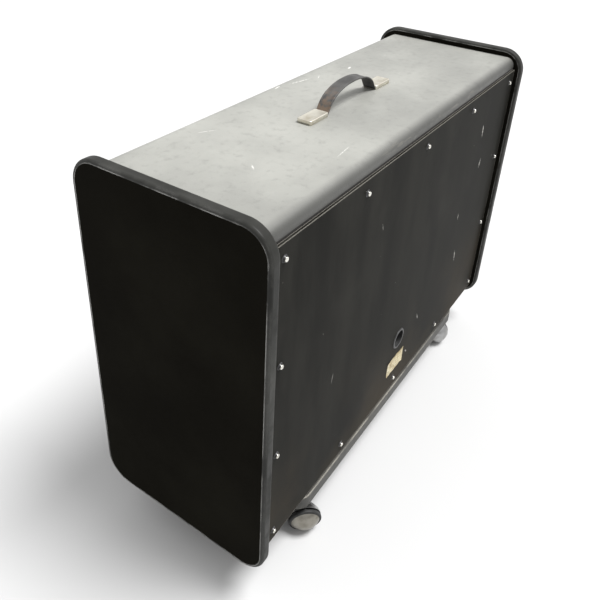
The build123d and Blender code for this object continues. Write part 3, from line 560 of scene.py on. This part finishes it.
def bridge(rings):
    """The points and faces of rings of equal length joined up, closed at the first and last ring."""
    count = len(rings[0])
    verts = [point for ring in rings for point in ring]
    faces = []
    for ring in range(len(rings) - 1):
        for index in range(count):
            after = (index + 1) % count
            faces.append((ring * count + index, ring * count + after,
                          (ring + 1) * count + after, (ring + 1) * count + index))
    faces.append(tuple(range(count)))
    faces.append(tuple((len(rings) - 1) * count + index for index in range(count)))
    return verts, faces


def grid_faces(columns, rows):
    """Faces between the points of a grid, whose points run along each row in turn."""
    faces = []
    for row in range(rows - 1):
        for column in range(columns - 1):
            corner = row * columns + column
            faces.append((corner, corner + columns, corner + columns + 1, corner + 1))
    return faces


def rounded_rectangle(half_x, half_y, radius, per_corner=6):
    """Points round a rounded rectangle, anticlockwise from its right side."""
    points = []
    for corner, (x, y) in enumerate(((1, 1), (-1, 1), (-1, -1), (1, -1))):
        for step in range(per_corner):
            angle = math.pi / 2 * (corner + step / (per_corner - 1))
            points.append((x * (half_x - radius) + radius * math.cos(angle),
                           y * (half_y - radius) + radius * math.sin(angle)))
    return points


# ---------------------------------------------------------------- handle

def handle_caps():
    """Two pressed caps with crisp shoulders, slightly dished on top."""
    metal = plated("cap_metal", (0.8, 0.77, 0.68), (0.62, 0.57, 0.46), 0.4)
    low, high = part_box("handle_caps")
    half_width = (high.y - low.y) / 2
    middle_y = (high.y + low.y) / 2
    half_length = CAP_LENGTH / 2
    height = high.z - low.z
    for name, middle_x in (("handle_cap_right", high.x - half_length),
                           ("handle_cap_left", low.x + half_length)):
        rings = []
        for inset_mm, share in CAP_PROFILE:
            inset = inset_mm * MM
            corner = max(CAP_CORNER - CAP_CORNER_SHRINK * inset, CAP_CORNER_LEAST)
            corners = rounded_rectangle(half_length - inset, half_width - inset, corner)
            rings.append([(middle_x + x, middle_y + y, low.z + share * height) for x, y in corners])
        verts, faces = bridge(rings)
        make_piece(name, verts, faces, metal, "handle_caps")


def strap_line(low, high, caps_low, caps_high):
    """Centreline of the strap in X and Z, smoothed through the arch's points."""
    middle = (caps_low.x + caps_high.x) / 2
    half_span = (caps_high.x - caps_low.x) / 2 - CAP_LENGTH
    level = low.z + STRAP_THICKNESS / 2
    rise = high.z - STRAP_THICKNESS / 2 - level
    half = [(out * half_span, level + up * rise) for out, up in ARCH]
    half += [(half_span, level), (half_span + STRAP_FLAT, level), (high.x - middle, level)]
    whole = [(-x, z) for x, z in reversed(half)] + half[1:]
    points = [Vector((middle + x, 0, z)) for x, z in whole]
    line = []
    for index in range(len(points) - 1):
        first = points[max(index - 1, 0)]
        last = points[min(index + 2, len(points) - 1)]
        start, end = points[index], points[index + 1]
        reach = (end - start).length
        leave = (end - first).normalized() * reach
        arrive = (last - start).normalized() * reach
        for step in range(ARCH_STEPS):
            t = step / ARCH_STEPS
            line.append(start * (2 * t**3 - 3 * t**2 + 1) + leave * (t**3 - 2 * t**2 + t)
                        + end * (3 * t**2 - 2 * t**3) + arrive * (t**3 - t**2))
    return line + [points[-1]]


def strap_section(half_width, half_thickness):
    """The strap's cross-section: a thin web with a rounded rib along each edge, flat underneath."""
    top = []
    for index in range(SECTION_STEPS + 1):
        across = -math.cos(math.pi * index / SECTION_STEPS)
        rib = math.exp(-((abs(across) - RIB_PLACE) / RIB_WIDTH) ** 2)
        past_edge = max(0.0, (abs(across) - EDGE_START) / (1 - EDGE_START))
        rounding = math.sqrt(max(0.0, 1 - past_edge ** 2))
        thickness = half_thickness * (WEB_SHARE + (1 - WEB_SHARE) * rib)
        top.append((across * half_width, thickness * rounding))
    bottom = [(across, -UNDERSIDE_SHARE * half_thickness) for across, _ in reversed(top[2:-2])]
    return top + bottom


def handle_strap():
    """A moulded strap with ribbed edges, arched between the two caps."""
    low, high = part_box("handle_strap")
    caps_low, caps_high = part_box("handle_caps")
    middle_y = (low.y + high.y) / 2
    section = strap_section((high.y - low.y) / 2, STRAP_THICKNESS / 2)
    line = strap_line(low, high, caps_low, caps_high)
    across = Vector((0, 1, 0))
    rings = []
    for index, point in enumerate(line):
        before = line[max(index - 1, 0)]
        after = line[min(index + 1, len(line) - 1)]
        out = across.cross(before - after).normalized()
        wobble = STRAP_WOBBLE * noise.noise(point * 60)
        centre = point + across * (middle_y + wobble)
        rings.append([tuple(centre + across * u + out * v) for u, v in section])
    verts, faces = bridge(rings)
    make_piece("handle_strap_moulded", verts, faces, strap_rubber(), "handle_strap")


handle_caps()
handle_strap()


# ---------------------------------------------------------------- label

def input_label():
    """A torn paper label whose edges are ragged and whose corners lift a little."""
    low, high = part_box("input_label")
    size = high - low
    verts = []
    for row in range(LABEL_ROWS + 1):
        for column in range(LABEL_COLUMNS + 1):
            u = column / LABEL_COLUMNS
            v = row / LABEL_ROWS
            tear = 0.5 + 0.5 * noise.fractal(Vector((u * 9, v * 6, 3.7)), 0.7, 2.2, 5)
            pull = LABEL_TEAR * tear
            x = min(max(low.x + u * size.x, low.x + pull), high.x - pull * 0.6)
            z = min(max(low.z + v * size.z, low.z + pull * 0.9), high.z - pull * 0.7)
            lift = max(0.0, abs(u - 0.5) + abs(v - 0.5) - CORNER_START) * CORNER_LIFT
            ripple = LABEL_RIPPLE * noise.noise(Vector((u * 14, v * 10, 0)))
            verts.append((x, high.y + LABEL_STANDOFF + lift + ripple, z))
    faces = grid_faces(LABEL_COLUMNS + 1, LABEL_ROWS + 1)
    make_piece("torn_label", verts, faces, paper_label(), "input_label")


input_label()


# ---------------------------------------------------------------- grille cloth

def grille_cloth():
    """Cloth stretched over the grille frame: flat on the bars, a little slack between them."""
    low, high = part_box("grille_cloth")
    size = high - low
    verts = []
    for row in range(-1, CLOTH_ROWS + 2):
        for column in range(-1, CLOTH_COLUMNS + 2):
            u = min(max(column / CLOTH_COLUMNS, 0.0), 1.0)
            v = min(max(row / CLOTH_ROWS, 0.0), 1.0)
            slack = CLOTH_SLACK * abs(math.sin(2 * math.pi * u)) * math.sin(math.pi * v)
            ripple = CLOTH_RIPPLE * noise.noise(Vector((u * 9, v * 6, 1.3)))
            rounded = CLOTH_EDGE if u in (0.0, 1.0) or v in (0.0, 1.0) else 0.0
            y = low.y + CLOTH_STANDOFF + slack + ripple + rounded
            if column in (-1, CLOTH_COLUMNS + 1) or row in (-1, CLOTH_ROWS + 1):
                y = low.y + CLOTH_TURN_BACK
            verts.append((low.x + u * size.x, y, low.z + v * size.z))
    faces = grid_faces(CLOTH_COLUMNS + 3, CLOTH_ROWS + 3)
    cloth = make_piece("stretched_cloth", verts, faces, speaker_cloth(), "grille_cloth")


grille_cloth()


# ---------------------------------------------------------------- floor, light and camera

def floor():
    mesh = bpy.data.meshes.new("studio_floor")
    corners = [(x * FLOOR_REACH, y * FLOOR_REACH, 0) for x, y in ((-1, -1), (1, -1), (1, 1), (-1, 1))]
    mesh.from_pydata(corners, [], [(0, 1, 2, 3)])
    surface = Surface("floor_paper", roughness=0.9, specular=0.1)
    drift = surface.noise(2.0, 2.0)
    surface.colour(surface.blend(drift, (0.54, 0.54, 0.54), (0.56, 0.56, 0.56)))
    mesh.materials.append(surface.material)
    plane = bpy.data.objects.new("studio_floor", mesh)
    bpy.context.scene.collection.objects.link(plane)


def sun(name, azimuth, elevation, strength, softness):
    """A soft light from a compass direction seen from above: azimuth 0 is +X and 90 is +Y."""
    light = bpy.data.lights.new(name, "SUN")
    light.energy = strength
    light.angle = math.radians(softness)
    lamp = bpy.data.objects.new(name, light)
    a = math.radians(azimuth)
    e = math.radians(elevation)
    towards = Vector((math.cos(a) * math.cos(e), math.sin(a) * math.cos(e), math.sin(e)))
    lamp.rotation_euler = towards.to_track_quat("Z", "Y").to_euler()
    bpy.context.scene.collection.objects.link(lamp)


def sky(horizon, zenith):
    """White surroundings, brighter overhead than at the horizon."""
    world = bpy.data.worlds.new("studio")
    world.use_nodes = True
    tree = world.node_tree
    background = tree.nodes["Background"]
    direction = tree.nodes.new("ShaderNodeTexCoord")
    split = tree.nodes.new("ShaderNodeSeparateXYZ")
    brightness = tree.nodes.new("ShaderNodeMapRange")
    brightness.inputs["To Min"].default_value = horizon
    brightness.inputs["To Max"].default_value = zenith
    tree.links.new(direction.outputs["Generated"], split.inputs["Vector"])
    tree.links.new(split.outputs["Z"], brightness.inputs["Value"])
    tree.links.new(brightness.outputs["Result"], background.inputs["Strength"])
    background.inputs["Color"].default_value = (1.0, 1.0, 1.0, 1.0)
    bpy.context.scene.world = world


def camera():
    """Looks down on the back and the right-hand end, close enough for strong perspective."""
    azimuth = math.radians(CAMERA_AZIMUTH)
    elevation = math.radians(CAMERA_ELEVATION)
    level = math.cos(elevation)
    back = Vector((math.sin(azimuth) * level, -math.cos(azimuth) * level, math.sin(elevation)))
    data = bpy.data.cameras.new("camera")
    data.sensor_width = CAMERA_SENSOR
    data.lens = CAMERA_LENS
    data.shift_x, data.shift_y = CAMERA_SHIFT
    view = bpy.data.objects.new("camera", data)
    turn = (-back).to_track_quat("-Z", "Y").to_matrix().to_4x4()
    roll = Matrix.Rotation(math.radians(CAMERA_ROLL), 4, "Z")
    view.matrix_world = Matrix.Translation(CAMERA_PLACE) @ turn @ roll
    bpy.context.scene.collection.objects.link(view)
    bpy.context.scene.camera = view


floor()
sky(0.5, 1.0)
sun("key", 120.0, 66.0, 4.2, 24.0)
bpy.context.scene.view_settings.view_transform = "Standard"
camera()
